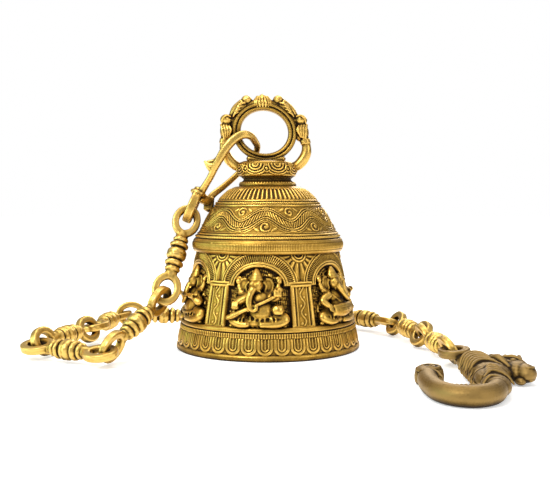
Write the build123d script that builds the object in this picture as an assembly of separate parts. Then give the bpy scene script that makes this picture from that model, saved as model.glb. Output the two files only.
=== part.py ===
"""Temple bell of cast brass, standing on its mouth, with its chain and ceiling hook laid round it.

Millimetres. The origin is the centre of the bell's mouth, on the surface that the bell stands on, and +Z is up.
-Y is the front of the bell, so its hanging ring is seen as an oval from the front.
"""
from build123d import *
import os
from math import cos, hypot, radians, sin

os.makedirs("parts", exist_ok=True)

# ---- bell shell -------------------------------------------------------------------------------------------
mouth_radius = 78.2
wall = 4.6
lip_height = 5.0
band_top = 21.8            # top of the petal band at the mouth
ledge_radius = 73.0
niche_floor = 25.5         # the ledge that the figures sit on
cornice_height = 59.5      # where the pillars end and the arches begin
shoulder_low = 82.0        # underside of the shoulder roll
shoulder_radius = 64.2
shoulder_top = 93.5
cap_height = 136.0         # where the crown's base stands
inner_top = 129.6          # ceiling of the bell's inside
niche_count = 6
niche_turn = -6.5          # turn of the front niche from straight ahead, degrees
niche_back_low = 69.4      # radius of the niches' back wall at band_top
niche_back_high = 57.8     # and at shoulder_low
niche_wall = 2.5           # metal behind a niche
niche_half_angle = 20.5
arch_rise = 13.5
stud_hole_radius = 4.05

# ---- seated figures in the niches -------------------------------------------------------------------------
seat_height = 31.0
figure_radius = 63.5       # of the body's middle line

# ---- crown ------------------------------------------------------------------------------------------------
crown_base_radius = 24.3
neck_radius = 20.3
pot_radius = 25.0
pot_low = 144.6
pot_top = 156.8
ring_centre_height = 183.0
ring_outer = (27.2, 23.9)  # half width and half height of the hanging ring
ring_hole = (20.5, 17.8)
ring_depth = 11.0
arm_radius = 3.7
crown_top = 216.0

# ---- clapper and its fixings ------------------------------------------------------------------------------
stud_radius = 4.0
stud_top = 150.0
washer_radius = 11.0
washer_thick = 2.0
nut_flats = 13.0
nut_height = 6.5
eye_wire = 1.9
eye_radius = 6.0           # of the wire's centre line
eyebolt_eye_height = 106.5
clapper_ring_radius = 7.0
clapper_rod_radius = 2.6
clapper_ball_radius = 13.5
clapper_ball_height = 31.0

# ---- chain ------------------------------------------------------------------------------------------------
eye_half_gap = 31.0        # from a link's middle to each eye's centre
eye_outer = (14.25, 11.75) # half length along the link, half width
eye_hole = (8.5, 6.2)
eye_thick = 6.0
wire_middle = eye_half_gap + (eye_outer[0] + eye_hole[0]) / 2
wire_pitch = eye_outer[0] - eye_hole[0] + 0.7
near_hold = wire_middle - wire_pitch   # from a link's middle back to the wire that holds it
chain_start = Vector(-67.8, -5.0, 111.4)   # where the first link's wire is held
# each link as it lies: heading and rise of its long axis, roll of its eyes' plane,
# and the slack and the lift of the piece that it holds
chain_lie = [
    (241.0, -62.0, 36.0, 3.0, 1.2),
    (237.0, -28.0, -72.0, 2.2, 0.0),
    (152.0, 0.4, 14.0, 2.2, 0.0),
    (69.0, 0.5, -68.0, 2.2, 0.0),
    (81.0, 0.8, 10.0, 3.0, 0.0),
    (9.0, -3.4, -80.0, 1.5, 0.0),
    (40.0, -1.3, 6.0, 2.2, 1.2),
    (340.0, 0.0, -84.0, 1.5, 0.0),
    (308.0, -0.2, 18.0, 3.0, 0.0),
    (281.0, 0.0, -57.0, 6.0, 0.0),
    (276.0, 0.0, 60.0, 5.0, 0.0),
]
hook_lie = (270.0, 0.0, -6.0, 0.0, 0.0)

# ---- shackle ----------------------------------------------------------------------------------------------
shackle_radius = 3.1
# middle line of the loop: up the front leg, over the ring's lower left rim, down the back leg
shackle_loop = [
    (-59.0, -5.0, 134.0),
    (-51.5, -10.0, 144.0),
    (-44.5, -14.0, 158.5),
    (-37.0, -14.5, 168.0),
    (-29.5, -13.5, 175.0),
    (-23.5, -13.0, 178.8),
    (-18.5, -10.5, 180.0),
    (-14.0, -6.0, 178.8),
    (-11.0, 1.0, 175.8),
    (-9.0, 8.5, 171.0),
    (-12.0, 15.0, 163.5),
    (-20.0, 20.5, 156.5),
    (-28.0, 21.5, 147.0),
    (-38.0, 17.0, 138.0),
    (-47.0, 9.5, 129.0),
    (-59.0, 1.0, 128.0),
]
shackle_end = Vector(-68.5, -4.7, 108.7)    # middle of the small eye's lowest wire
shackle_eye_rise = wire_middle - eye_half_gap

# ---- ceiling hook -----------------------------------------------------------------------------------------
hook_thick = 13.0
hook_bend_radius = 20.5
hook_bend_centre = (124.5, -194.5)
hook_limb_radius = 6.5


def unit(heading, rise):
    """Direction from a compass heading (degrees from +X, counter-clockwise) and a rise above level."""
    flat = cos(radians(rise))
    return Vector(flat * cos(radians(heading)), flat * sin(radians(heading)), sin(radians(rise)))


def lying_plane(origin, heading, rise, roll):
    """Plane whose x runs along the link and whose y runs across its eyes, rolled about the long axis."""
    along = unit(heading, rise)
    level = Vector(sin(radians(heading)), -cos(radians(heading)), 0)
    upward = level.cross(along)
    across = level * cos(radians(roll)) + upward * sin(radians(roll))
    return Plane(origin=origin, x_dir=along, z_dir=along.cross(across))


def rod(start, end, radius, end_radius=None):
    """Round bar or cone from one point to another."""
    start = Vector(*start)
    end = Vector(*end)
    run = end - start
    place = Plane(origin=start, z_dir=run)
    grip = (Align.CENTER, Align.CENTER, Align.MIN)
    if end_radius is None or abs(end_radius - radius) < 1e-6:
        bar = Cylinder(radius, run.length, align=grip)
    else:
        bar = Cone(radius, end_radius, run.length, align=grip)
    return place * bar


def ball(centre, radius):
    return Pos(*centre) * Sphere(radius)


def bent_bar(points, radius):
    """Round bar through a list of points, with a ball at each of them."""
    body = ball(points[0], radius)
    for start, end in zip(points, points[1:]):
        body = body + rod(start, end, radius) + ball(end, radius)
    return body


def turned(outline):
    """Solid of revolution about Z from an outline of (radius, height) points."""
    points = [(r, 0, z) for r, z in outline]
    face = make_face(Polyline(*points, close=True))
    return revolve(face, Axis.Z)


def ellipsoid(centre, half_width, half_height):
    """Egg shape, round about Z, from its half width and half height."""
    with BuildPart() as egg:
        with BuildSketch(Plane.XZ):
            with BuildLine():
                EllipticalCenterArc((0, 0), half_width, half_height, start_angle=-90, arc_size=180)
                Line((0, half_height), (0, -half_height))
            make_face()
        revolve(axis=Axis.Z)
    return Pos(*centre) * egg.part


def outer_bell():
    with BuildPart() as solid:
        with BuildSketch(Plane.XZ):
            with BuildLine():
                Polyline(
                    (0, 0),
                    (mouth_radius - 1.0, 0),
                    (mouth_radius, 1.5),
                    (mouth_radius, lip_height),
                    (75.0, 18.0),
                    (74.8, band_top),
                    (ledge_radius, 22.5),
                    (ledge_radius - 0.8, niche_floor + 8),
                )
                Spline(
                    (ledge_radius - 0.8, niche_floor + 8),
                    (68.2, 44.0),
                    (64.4, 61.0),
                    (60.8, shoulder_low),
                )
                ThreePointArc(
                    (60.8, shoulder_low),
                    (shoulder_radius, 88.4),
                    (61.2, shoulder_top),
                )
                Spline(
                    (61.2, shoulder_top),
                    (56.0, 105.0),
                    (46.3, 119.0),
                    (34.8, 132.6),
                    (28.0, cap_height),
                )
                Line((28.0, cap_height), (0, cap_height))
                Line((0, cap_height), (0, 0))
            make_face()
        revolve(axis=Axis.Z)
    return solid.part


def inner_bell():
    with BuildPart() as solid:
        with BuildSketch(Plane.XZ):
            with BuildLine():
                Polyline(
                    (0, -1),
                    (mouth_radius - wall, -1),
                    (mouth_radius - wall, lip_height),
                    (71.4, 15.0),
                    (niche_back_low - niche_wall, band_top),
                    (niche_back_high - niche_wall, shoulder_low),
                )
                Spline(
                    (niche_back_high - niche_wall, shoulder_low),
                    (56.0 - wall, 102.0),
                    (44.5 - wall, 117.0),
                    (29.0, 127.6),
                    (16.0, inner_top),
                )
                Line((16.0, inner_top), (0, inner_top))
                Line((0, inner_top), (0, -1))
            make_face()
        revolve(axis=Axis.Z)
    return solid.part


def niche_void():
    """Arched pocket, open towards -Y, that stands on the ledge."""
    half = mouth_radius * sin(radians(niche_half_angle)) * 0.86
    with BuildPart() as pocket:
        with BuildSketch(Plane.XZ):
            with Locations((0, (niche_floor + cornice_height) / 2)):
                Rectangle(2 * half, cornice_height - niche_floor)
            with Locations((0, cornice_height)):
                Ellipse(half, arch_rise)
            Rectangle(4 * half, 2 * niche_floor, mode=Mode.SUBTRACT)
        extrude(amount=mouth_radius + 10)
    return pocket.part


def figure():
    """Simple seated elephant-headed musician, facing -Y, as it stands at the front of the bell."""
    seat = seat_height
    back = -figure_radius
    body = ellipsoid((0, back - 2.0, seat + 9), 8.2, 9.5)
    body += ellipsoid((0, back - 2.5, seat), 13.2, 5.4)
    body += ball((0, back - 1.0, seat + 21.5), 6.6)
    body += ellipsoid((0, back + 0.5, seat + 28.0), 4.6, 7.0)
    for side in (-1, 1):
        body += ball((side * 7.4, back + 0.5, seat + 21.0), 4.6)
        body += rod((side * 8.0, back - 1.0, seat + 13), (side * 12.0, back - 3.0, seat + 8), 2.8)
        body += ball((side * 12.0, back - 3.0, seat + 8), 3.2)
    body += rod((0, back - 5.0, seat + 19), (-3.0, back - 7.6, seat + 10), 2.4, 1.7)
    body += rod((-11.5, back - 6.0, seat + 4.5), (10.0, back - 6.5, seat + 17), 2.0)
    return body


def bell_shell():
    body = outer_bell()
    # the pockets stop at a plain cone, which is the back wall of every niche
    back_wall = turned([
        (0, band_top),
        (niche_back_low, band_top),
        (niche_back_high, shoulder_low),
        (0, shoulder_low),
    ])
    pocket = niche_void() - back_wall
    sitter = figure()
    seats = [niche_turn + index * 360 / niche_count for index in range(niche_count)]
    for turn in seats:
        body -= Rot(0, 0, turn) * pocket
    for turn in seats:
        body += Rot(0, 0, turn) * sitter
    body -= inner_bell()
    body -= Cylinder(stud_hole_radius, 300)
    return body


def arm(side):
    """Curved arm from the pot up to the ring's side, with the head of a bird at its top."""
    path = [
        (side * 20.0, 0, 153.0),
        (side * 30.0, 0, 157.5),
        (side * 36.0, 0, 166.0),
        (side * 37.0, 0, 177.0),
        (side * 34.5, 0, 187.0),
    ]
    body = bent_bar(path, arm_radius)
    body += ball((side * 33.0, 0, 192.0), 5.4)
    body += rod((side * 33.0, 0, 190.0), (side * 25.0, 0, 189.0), 3.4)
    return body


def crown():
    body = turned([
        (0, cap_height),
        (crown_base_radius, cap_height),
        (crown_base_radius, 138.8),
        (neck_radius, 141.0),
        (neck_radius, 143.0),
        (pot_radius - 1.2, pot_low),
        (pot_radius, pot_low + 3.5),
        (pot_radius - 0.6, pot_top - 2.5),
        (pot_radius - 3.5, pot_top),
        (9.0, 161.5),
        (0, 161.5),
    ])
    with BuildPart() as ring:
        with BuildSketch(Plane.XZ):
            with Locations((0, ring_centre_height)):
                Ellipse(*ring_outer)
                Ellipse(*ring_hole, mode=Mode.SUBTRACT)
        extrude(amount=ring_depth / 2, both=True)
    body += ring.part
    for side in (-1, 1):
        body += arm(side)
        body += ball((side * 16.0, 0, 204.5), 5.4)
        body += rod((side * 16.0, 0, 204.5), (side * 23.0, 0, 198.0), 4.4, 3.0)
        body += ball((side * 12.8, 0, 209.0), 3.6)
    body += turned([
        (0, crown_top - 15.4),
        (6.0, crown_top - 14.4),
        (8.6, crown_top - 11.4),
        (9.0, crown_top - 7.8),
        (7.6, crown_top - 3.8),
        (4.4, crown_top - 1.0),
        (0, crown_top),
    ])
    body -= Pos(0, 0, cap_height - 1) * Cylinder(
        stud_hole_radius, stud_top + 1.5 - cap_height, align=(Align.CENTER, Align.CENTER, Align.MIN)
    )
    return body


def wire_eye(centre, radius, wire, across_y):
    """Round wire eye that stands upright; its hole looks along Y, or along X."""
    ring = Rot(90, 0, 0) * Torus(radius, wire)
    if across_y:
        ring = Rot(0, 0, 90) * ring
    return Pos(*centre) * ring


def clapper_eyebolt():
    eye = wire_eye((0, 0, eyebolt_eye_height), eye_radius, eye_wire, False)
    low = eyebolt_eye_height + eye_radius + 0.4
    shank = rod((0, 0, low), (0, 0, stud_top), stud_radius)
    return eye + shank + ball((0, 0, low), stud_radius - 0.6)


def crown_washer():
    return turned([
        (stud_radius + 0.3, inner_top - washer_thick),
        (washer_radius, inner_top - washer_thick),
        (washer_radius, inner_top),
        (stud_radius + 0.3, inner_top),
    ])


def crown_nut():
    top = inner_top - washer_thick
    with BuildPart() as nut:
        with BuildSketch(Plane.XY.offset(top - nut_height)):
            RegularPolygon(nut_flats / 2, 6, major_radius=False)
            Circle(stud_radius + 0.05, mode=Mode.SUBTRACT)
        extrude(amount=nut_height)
    return nut.part


ring_drop = 2 * eye_wire + 0.5      # between the middles of two linked wires
clapper_ring_top = eyebolt_eye_height - eye_radius + ring_drop
clapper_ring_centre = clapper_ring_top - clapper_ring_radius
clapper_eye_top = clapper_ring_centre - clapper_ring_radius + ring_drop
clapper_eye_centre = clapper_eye_top - eye_radius


def clapper_ring():
    return wire_eye((0, 0, clapper_ring_centre), clapper_ring_radius, eye_wire, True)


def clapper_rod():
    eye = wire_eye((0, 0, clapper_eye_centre), eye_radius, eye_wire, False)
    top = clapper_eye_centre - eye_radius - 0.3
    return eye + rod((0, 0, top), (0, 0, clapper_ball_height - clapper_ball_radius - 6.0), clapper_rod_radius)


def clapper_ball():
    body = ball((0, 0, clapper_ball_height), clapper_ball_radius)
    body += rod((0, 0, clapper_ball_height + 10), (0, 0, clapper_ball_height + 17.5), 6.2, 3.8)
    return body - Cylinder(clapper_rod_radius, 200)


def flat_eye(centre_x):
    with BuildPart() as eye:
        with BuildSketch(Plane.XY):
            with Locations((centre_x, 0)):
                Ellipse(*eye_outer)
                Ellipse(*eye_hole, mode=Mode.SUBTRACT)
        extrude(amount=eye_thick / 2, both=True)
        edges = eye.part.faces().filter_by(Axis.Z).edges()
        chamfer(edges, 0.9)
    return eye.part


def baluster():
    """The turned middle of a link, along X."""
    half = [
        (0, 0),
        (8.3, 0),
        (8.1, 2.4),
        (6.8, 4.6),
        (5.2, 5.8),
        (7.6, 6.8),
        (7.9, 9.0),
        (6.6, 10.8),
        (5.0, 11.6),
        (6.2, 12.6),
        (6.3, 14.8),
        (4.8, 16.6),
        (3.6, 18.4),
        (0, 18.4),
    ]
    upper = turned(half)
    return Rot(0, 90, 0) * (upper + mirror(upper, Plane.XY))


def chain_link():
    return baluster() + flat_eye(eye_half_gap) + flat_eye(-eye_half_gap)


def held_point(place, next_place):
    """Middle of the far eye's wire where it runs straight through the next piece's eye."""
    half_long = (eye_outer[0] + eye_hole[0]) / 2
    half_wide = (eye_outer[1] + eye_hole[1]) / 2
    along = half_long ** 2 * next_place.z_dir.dot(place.y_dir)
    across = -(half_wide ** 2) * next_place.z_dir.dot(place.x_dir)
    if along < 0:
        along, across = -along, -across
    size = hypot(along / half_long, across / half_wide)
    return place.origin + place.x_dir * (eye_half_gap + along / size) + place.y_dir * (across / size)


def chain_places():
    """Plane of each link, and last the plane of the hook's eye, with its middle as a link's would be."""
    places = []
    held_at = chain_start
    lies = chain_lie + [hook_lie]
    for (heading, rise, roll, slack, lift), (next_heading, next_rise, next_roll, _, _) in zip(lies, lies[1:]):
        place = lying_plane(held_at + unit(heading, rise) * near_hold, heading, rise, roll)
        next_place = lying_plane(held_at, next_heading, next_rise, next_roll)
        places.append(place)
        held_at = held_point(place, next_place) - next_place.x_dir * slack + Vector(0, 0, lift)
    places.append(lying_plane(held_at + next_place.x_dir * near_hold, *hook_lie[:3]))
    return places


def shackle():
    body = bent_bar(shackle_loop, shackle_radius)
    collar = (Vector(*shackle_loop[0]) + Vector(*shackle_loop[-1])) * 0.5
    along = (shackle_end - collar).normalized()
    eye_centre = shackle_end - along * shackle_eye_rise
    # the small eye's plane holds the long axis and the direction from front to back
    place = Plane(origin=eye_centre, x_dir=along, z_dir=along.cross(Vector(0, 1, 0)))
    body += place * (Pos(-eye_half_gap, 0, 0) * flat_eye(eye_half_gap))
    body += rod(eye_centre - along * 12.5, shackle_loop[0], 5.2, 4.0)
    body += rod(eye_centre - along * 12.5, shackle_loop[-1], 5.0, 3.6)
    spur = Vector(*shackle_loop[2])
    body += rod(spur, spur + Vector(-6.5, 0, 2.5), 3.6, 0.8)
    return body


def hook_slab():
    return Pos(130, -160, 0) * Box(200, 200, hook_thick, align=(Align.CENTER, Align.CENTER, Align.MIN))


def ceiling_hook(eye_place):
    level = hook_thick / 2
    middle_x, low = hook_bend_centre
    left = middle_x - hook_bend_radius
    right = middle_x + hook_bend_radius
    grip = (Align.CENTER, Align.CENTER, Align.MIN)
    limb = [(left + 2.0, -163.0, level)]
    for index in range(7):
        turn = radians(180 + 30 * index)
        limb.append((middle_x + hook_bend_radius * cos(turn), low + hook_bend_radius * sin(turn), level))
    body = bent_bar(limb, hook_limb_radius)
    body += Pos(left + 5.0, -154.0, 0) * Cylinder(10.0, hook_thick, align=grip)
    thick = rod((right, low, level), (152.0, -160.0, level), hook_limb_radius, 11.0)
    thick += rod((152.0, -162.0, level), (155.0, -134.0, level), 11.5, 12.5)
    thick += rod((155.0, -136.0, level), (147.0, -118.0, level), 12.0, 8.0)
    thick += rod((149.0, -122.0, level), (141.0, -108.0, level), 7.0, 5.0)
    thick += ball((168.0, -134.0, level), 11.5)
    thick += rod((168.0, -136.0, level), (177.0, -152.0, level), 10.0, 5.0)
    body += thick & hook_slab()
    body += eye_place * flat_eye(-eye_half_gap)
    return body


def save(shape, name):
    shape.label = name
    export_step(shape, os.path.join("parts", name + ".step"))


save(bell_shell(), "bell_shell")
save(crown(), "crown")
save(clapper_eyebolt(), "clapper_eyebolt")
save(crown_washer(), "crown_washer")
save(crown_nut(), "crown_nut")
save(clapper_ring(), "clapper_ring")
save(clapper_rod(), "clapper_rod")
save(clapper_ball(), "clapper_ball")
save(shackle(), "shackle")
link = chain_link()
*link_places, hook_eye_place = chain_places()
for number, place in enumerate(link_places, start=1):
    save(place * link, f"chain_link_{number:02d}")
save(ceiling_hook(hook_eye_place), "ceiling_hook")
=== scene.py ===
"""Looks of the brass temple bell: cast relief, seated figures, crown, shackle, chain and hook."""

import math

import bpy
import numpy as np
from mathutils import Matrix, Vector


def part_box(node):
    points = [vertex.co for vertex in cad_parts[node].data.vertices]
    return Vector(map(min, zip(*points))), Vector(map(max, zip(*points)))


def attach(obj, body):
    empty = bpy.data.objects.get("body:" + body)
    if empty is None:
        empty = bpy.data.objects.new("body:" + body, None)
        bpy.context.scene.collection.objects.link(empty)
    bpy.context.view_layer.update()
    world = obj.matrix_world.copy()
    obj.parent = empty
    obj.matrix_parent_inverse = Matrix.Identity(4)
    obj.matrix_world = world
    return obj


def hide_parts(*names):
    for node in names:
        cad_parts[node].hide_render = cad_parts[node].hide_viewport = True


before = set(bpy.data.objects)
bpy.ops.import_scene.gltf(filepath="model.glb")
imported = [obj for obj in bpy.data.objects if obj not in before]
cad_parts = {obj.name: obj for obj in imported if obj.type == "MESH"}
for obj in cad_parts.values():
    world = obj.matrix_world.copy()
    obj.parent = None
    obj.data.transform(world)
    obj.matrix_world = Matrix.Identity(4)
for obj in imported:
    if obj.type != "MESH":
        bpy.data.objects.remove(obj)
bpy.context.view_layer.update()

MM = 0.001
TAU = 2 * math.pi
NICHES = 6
FRONT = math.radians(-96.5)            # direction of the front niche
EYE_RADII = (11.375, 8.975)            # middle line of a chain eye
EYE_BAR = 2.875                        # half the thickness of its bar
ONCE = ((1, 1),)                       # signs of x and y of the copies that Clay keeps
PAIR = ((-1, 1), (1, 1))
FRONT_AND_BACK = ((1, -1), (1, 1))
FOUR = ((-1, -1), (-1, 1), (1, -1), (1, 1))


# ---------------- small helpers
def step(edge0, edge1, x):
    t = np.clip((x - edge0) / (edge1 - edge0), 0, 1)
    return t * t * (3 - 2 * t)


def ridge(x, half):
    """Rounded ridge of height 1 and the given half width."""
    return np.sqrt(np.clip(1 - (x / half) ** 2, 0, 1))


def between(x, low, high, soft=0.3):
    return step(low - soft, low + soft, x) * (1 - step(high - soft, high + soft, x))


def blur(a, rows, cols):
    """Box blur that wraps round the columns."""
    pad = np.pad(a, ((rows, rows), (0, 0)), mode="edge")
    total = sum(pad[k:k + a.shape[0]] for k in range(2 * rows + 1)) / (2 * rows + 1)
    return sum(np.roll(total, k, axis=1) for k in range(-cols, cols + 1)) / (2 * cols + 1)


def grid_faces(rows, cols, wrap):
    r = np.arange(rows - 1)[:, None]
    c = np.arange(cols if wrap else cols - 1)[None, :]
    n = (c + 1) % cols
    quad = np.stack([r * cols + c, r * cols + n, (r + 1) * cols + n, (r + 1) * cols + c], -1)
    return quad.reshape(-1, 4)


def wear(points, faces, gain=2.6):
    """Height of every point over the mean of the skin round it: edges positive, crevices negative."""
    q = np.array(faces)
    ends = np.vstack([q[:, [0, 1]], q[:, [1, 2]], q[:, [2, 3]], q[:, [3, 0]]])
    ends = np.vstack([ends, ends[:, ::-1]])
    number = np.maximum(np.bincount(ends[:, 0], minlength=len(points)), 1)[:, None]
    mean = points
    for _ in range(8):
        mean = np.stack([np.bincount(ends[:, 0], mean[ends[:, 1], k], len(points)) for k in range(3)], 1) / number
    normal = np.zeros_like(points)
    face_normal = np.cross(points[q[:, 2]] - points[q[:, 0]], points[q[:, 3]] - points[q[:, 1]])
    for k in range(4):
        np.add.at(normal, q[:, k], face_normal)
    normal /= np.maximum(np.linalg.norm(normal, axis=1), 1e-9)[:, None]
    return np.clip(gain * ((points - mean) * normal).sum(1), -0.8, 0.5)


def leaned(points):
    """The casting is a little crooked: bell and crown lean to the left."""
    p = np.array(points, float)
    p[:, 0] -= 0.002 * np.clip(p[:, 2], 0, 137) + 0.06 * np.clip(p[:, 2] - 137, 0, None)
    return p


def cast_object(name, points, faces, material, gain=2.6):
    """A fused piece with its worn edges."""
    return mesh_object(name, points, faces, material, wear(points, faces, gain))


def mesh_object(name, points, faces, material, relief=None):
    mesh = bpy.data.meshes.new(name)
    mesh.from_pydata((np.asarray(points) * MM).tolist(), [], [list(f) for f in faces])
    mesh.polygons.foreach_set("use_smooth", np.ones(len(mesh.polygons), bool))
    if relief is not None:
        layer = mesh.attributes.new("relief", "FLOAT", "POINT")
        layer.data.foreach_set("value", np.asarray(relief, np.float32).ravel())
    mesh.update()
    obj = bpy.data.objects.new(name, mesh)
    bpy.context.scene.collection.objects.link(obj)
    obj.data.materials.append(material)
    return obj


def densify(points, spacing):
    """Points along a polyline at an even spacing."""
    p = np.array(points, float)
    leg = np.hypot(*(p[1:] - p[:-1]).T)
    s = np.concatenate([[0], np.cumsum(leg)])
    t = np.linspace(0, s[-1], max(3, int(round(s[-1] / spacing)) + 1))
    return np.stack([np.interp(t, s, p[:, 0]), np.interp(t, s, p[:, 1])], 1), t


def curve(points, count, closed=False):
    """Catmull-Rom curve through points of any dimension."""
    p = np.array(points, float)
    if closed:
        p = np.vstack([p[-1], p, p[0], p[1]])
    else:
        p = np.vstack([2 * p[0] - p[1], p, 2 * p[-1] - p[-2]])
    spans = len(p) - 3
    u = np.linspace(0, spans, count, endpoint=not closed)
    i = np.minimum(u.astype(int), spans - 1)
    t = (u - i)[:, None]
    a, b, c, d = p[i], p[i + 1], p[i + 2], p[i + 3]
    return 0.5 * (2 * b + (c - a) * t + (2 * a - 5 * b + 4 * c - d) * t ** 2 + (3 * b - a - 3 * c + d) * t ** 3)


def upright(x, y, z, deep=1.0):
    """Placement of a turned piece that stands at x, y, z and is flattened along y."""
    return np.array([[1, 0, 0, x], [0, deep, 0, y], [0, 0, 1, z], [0, 0, 0, 1]], float)


class Clay:
    """Closed primitives that are later fused into one skin."""

    def __init__(self):
        self.points = []
        self.faces = []
        self.count = 0
        self.copies = ONCE

    def add(self, points, faces):
        """Keep a primitive, once for each pair of signs in self.copies."""
        for x_sign, y_sign in self.copies:
            self.points.append(np.asarray(points, float) * (x_sign, y_sign, 1))
            way = x_sign * y_sign
            self.faces += [[i + self.count for i in face[::way]] for face in faces]
            self.count += len(points)

    def blob(self, centre, radii, turn=None, detail=20):
        radii = np.broadcast_to(np.array(radii, float), (3,))
        rows, cols = detail // 2 + 1, detail
        lat = np.linspace(-math.pi / 2, math.pi / 2, rows)[1:-1]
        lon = np.linspace(0, TAU, cols, endpoint=False)
        body = np.stack([np.cos(lat)[:, None] * np.cos(lon), np.cos(lat)[:, None] * np.sin(lon),
                         np.sin(lat)[:, None] + 0 * lon], -1).reshape(-1, 3)
        p = np.vstack([body, [[0, 0, -1], [0, 0, 1]]]) * radii
        if turn is not None:
            p = p @ np.array(Matrix.Rotation(math.radians(turn[1]), 3, turn[0])).T
        faces = grid_faces(rows - 2, cols, True).tolist()
        low, high, last = len(body), len(body) + 1, (rows - 3) * cols
        faces += [[low, (c + 1) % cols, c] for c in range(cols)]
        faces += [[high, last + c, last + (c + 1) % cols] for c in range(cols)]
        self.add(p + np.array(centre, float), faces)

    def bar(self, points, radii, count=None, sides=14, flat=1.0, up=None, smooth=True, square=1.0):
        """Round or flattened bar along a path, with rounded ends."""
        p = np.array(points, float)
        r = np.broadcast_to(np.array(radii, float), (len(p),))
        if smooth and len(p) > 2:
            count = count or 6 * len(p)
            line = curve(np.column_stack([p, r]), count)
            p, r = line[:, :3], np.maximum(line[:, 3], 0.1)
        axis = np.gradient(p, axis=0)
        axis /= np.linalg.norm(axis, axis=1)[:, None]
        side = np.cross(axis[0], up if up is not None else ([0, 0, 1] if abs(axis[0][2]) < 0.9 else [1, 0, 0]))
        rings = []
        for k in range(len(p)):
            if up is not None:
                side = np.cross(axis[k], up)
            side = side - axis[k] * (side @ axis[k])
            side /= np.linalg.norm(side)
            other = np.cross(axis[k], side)
            a = np.linspace(0, TAU, sides, endpoint=False)[:, None]
            wide = np.sign(np.cos(a)) * np.abs(np.cos(a)) ** square
            deep = np.sign(np.sin(a)) * np.abs(np.sin(a)) ** square
            rings.append(p[k] + r[k] * (wide * side * flat + deep * other))
        ends = [p[0] - axis[0] * r[0] * 0.55, p[-1] + axis[-1] * r[-1] * 0.55]
        faces = grid_faces(len(p), sides, True).tolist()
        n = len(p) * sides
        faces += [[n, (c + 1) % sides, c] for c in range(sides)]
        faces += [[n + 1, n - sides + c, n - sides + (c + 1) % sides] for c in range(sides)]
        self.add(np.vstack(rings + [ends[0][None], ends[1][None]]), faces)

    def thin(self, points, radii):
        self.bar(points, radii, sides=8)

    def row(self, count, shift, points, radii, sides=8):
        """Bars in a row; the shift from one to the next is common to the points or given for each."""
        for k in range(count):
            self.bar(np.array(points, float) + k * np.array(shift, float), radii, sides=sides)

    def loop(self, centre, radii, section, u_axis, v_axis, count=72):
        """A closed hoop: section points are (outward, along the normal)."""
        a = np.linspace(0, TAU, count, endpoint=False)
        u_axis, v_axis = np.array(u_axis, float), np.array(v_axis, float)
        normal = np.cross(u_axis, v_axis)
        base = np.cos(a)[:, None] * radii[0] * u_axis + np.sin(a)[:, None] * radii[1] * v_axis
        out = np.cos(a)[:, None] * radii[1] * u_axis + np.sin(a)[:, None] * radii[0] * v_axis
        out /= np.linalg.norm(out, axis=1)[:, None]
        s = np.array(section, float)
        p = base[:, None] + s[None, :, 0, None] * out[:, None] + s[None, :, 1, None] * normal
        m = len(s)
        i = np.arange(count)[:, None]
        j = np.arange(m)[None]
        q = np.stack([i * m + j, ((i + 1) % count) * m + j, ((i + 1) % count) * m + (j + 1) % m,
                      i * m + (j + 1) % m], -1).reshape(-1, 4)
        self.add(p.reshape(-1, 3) + np.array(centre, float), q.tolist())

    def ringlet(self, centre, radii, thick, count):
        """Thin level hoop."""
        section = [(thick, 0), (0, thick), (-thick, 0), (0, -thick)]
        self.loop(centre, radii, section, (1, 0, 0), (0, 1, 0), count)

    def eye(self, centre, u, v, half, u_axis, v_axis, count=72):
        """Eye of a chain piece: an oval band with its edges cut off from (EYE_BAR, v) to (u, half)."""
        quarter = [(EYE_BAR, v), (u, half)]
        side = quarter + [(-a, b) for a, b in quarter[::-1]]
        self.loop(centre, EYE_RADII, side + [(-a, -b) for a, b in side], u_axis, v_axis, count)

    def turned(self, outline, place=np.eye(4), sides=40):
        """Solid of revolution about z; outline of (radius, height) from axis to axis."""
        o = np.array(outline, float)
        a = np.linspace(0, TAU, sides, endpoint=False)
        body = o[1:-1]
        p = np.stack([body[:, 0, None] * np.cos(a), body[:, 0, None] * np.sin(a), body[:, 1, None] + 0 * a], -1)
        p = np.vstack([p.reshape(-1, 3), [[0, 0, o[0, 1]], [0, 0, o[-1, 1]]]])
        faces = grid_faces(len(body), sides, True).tolist()
        n = len(body) * sides
        faces += [[n, (c + 1) % sides, c] for c in range(sides)]
        faces += [[n + 1, n - sides + c, n - sides + (c + 1) % sides] for c in range(sides)]
        p = p @ place[:3, :3].T + place[:3, 3]
        self.add(p, faces)

    def fuse(self, name, voxel, smooth=2):
        """One skin round all the primitives, as (points, quads) in millimetres."""
        mesh = bpy.data.meshes.new(name + "_clay")
        mesh.from_pydata(np.vstack(self.points).tolist(), [], self.faces)
        obj = bpy.data.objects.new(name + "_clay", mesh)
        bpy.context.scene.collection.objects.link(obj)
        remesh = obj.modifiers.new("fuse", "REMESH")
        remesh.mode = "VOXEL"
        remesh.voxel_size = voxel
        if smooth:
            soften = obj.modifiers.new("soften", "SMOOTH")
            soften.factor = 0.5
            soften.iterations = smooth
        done = obj.evaluated_get(bpy.context.evaluated_depsgraph_get()).to_mesh()
        points = np.zeros(len(done.vertices) * 3, np.float32)
        done.vertices.foreach_get("co", points)
        faces = [list(p.vertices) for p in done.polygons]
        obj.to_mesh_clear()
        bpy.data.objects.remove(obj)
        bpy.data.meshes.remove(mesh)
        return points.reshape(-1, 3).astype(float), faces


# ---------------- materials
def new_material(name):
    mat = bpy.data.materials.new(name)
    mat.use_nodes = True
    return mat, mat.node_tree, mat.node_tree.nodes["Principled BSDF"]


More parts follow.
